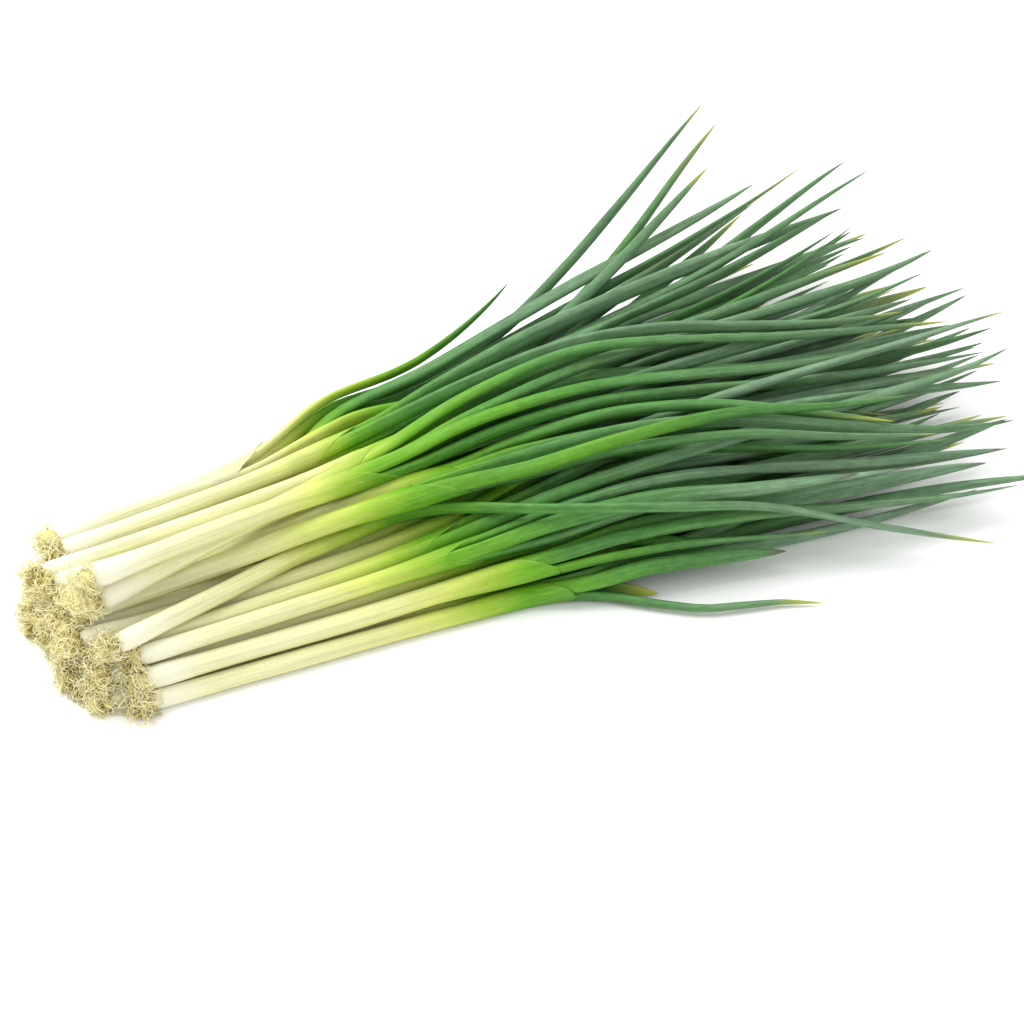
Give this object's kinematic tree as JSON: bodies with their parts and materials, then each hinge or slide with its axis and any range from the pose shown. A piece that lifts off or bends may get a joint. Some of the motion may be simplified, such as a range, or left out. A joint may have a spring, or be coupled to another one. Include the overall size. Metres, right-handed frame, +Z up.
{
  "type": "spring onion bunch",
  "caption": "Bunch of spring onions lying on a surface: white shanks with roots at one end, hollow green leaves fanning out to pointed tips.",
  "frame": {"origin": "centre of the bunch's box, in the plane of the table it lies on", "axes": "+X from the roots to the leaf tips, +Y across the bunch, +Z up"},
  "size_m": [0.5346, 0.3442, 0.0792],
  "materials": {
    "spring_onion": "satin plant skin: white shank, lime neck, blue-green waxy leaf, straw-brown roots"
  },
  "bodies": {
    "root": {"onion_01": "spring_onion", "onion_02": "spring_onion", "onion_03": "spring_onion", "onion_04": "spring_onion", "onion_05": "spring_onion", "onion_06": "spring_onion", "onion_07": "spring_onion", "onion_08": "spring_onion", "onion_09": "spring_onion", "onion_10": "spring_onion", "onion_11": "spring_onion", "onion_12": "spring_onion", "onion_13": "spring_onion", "onion_14": "spring_onion", "onion_15": "spring_onion", "onion_16": "spring_onion", "onion_17": "spring_onion", "onion_18": "spring_onion", "onion_19": "spring_onion", "onion_20": "spring_onion", "onion_21": "spring_onion", "onion_22": "spring_onion", "onion_23": "spring_onion", "onion_24": "spring_onion", "onion_25": "spring_onion", "onion_26": "spring_onion", "onion_27": "spring_onion", "onion_28": "spring_onion", "onion_29": "spring_onion", "onion_30": "spring_onion", "onion_31": "spring_onion", "onion_32": "spring_onion", "onion_33": "spring_onion", "onion_34": "spring_onion", "onion_35": "spring_onion", "onion_36": "spring_onion"}
  },
  "joints": []
}
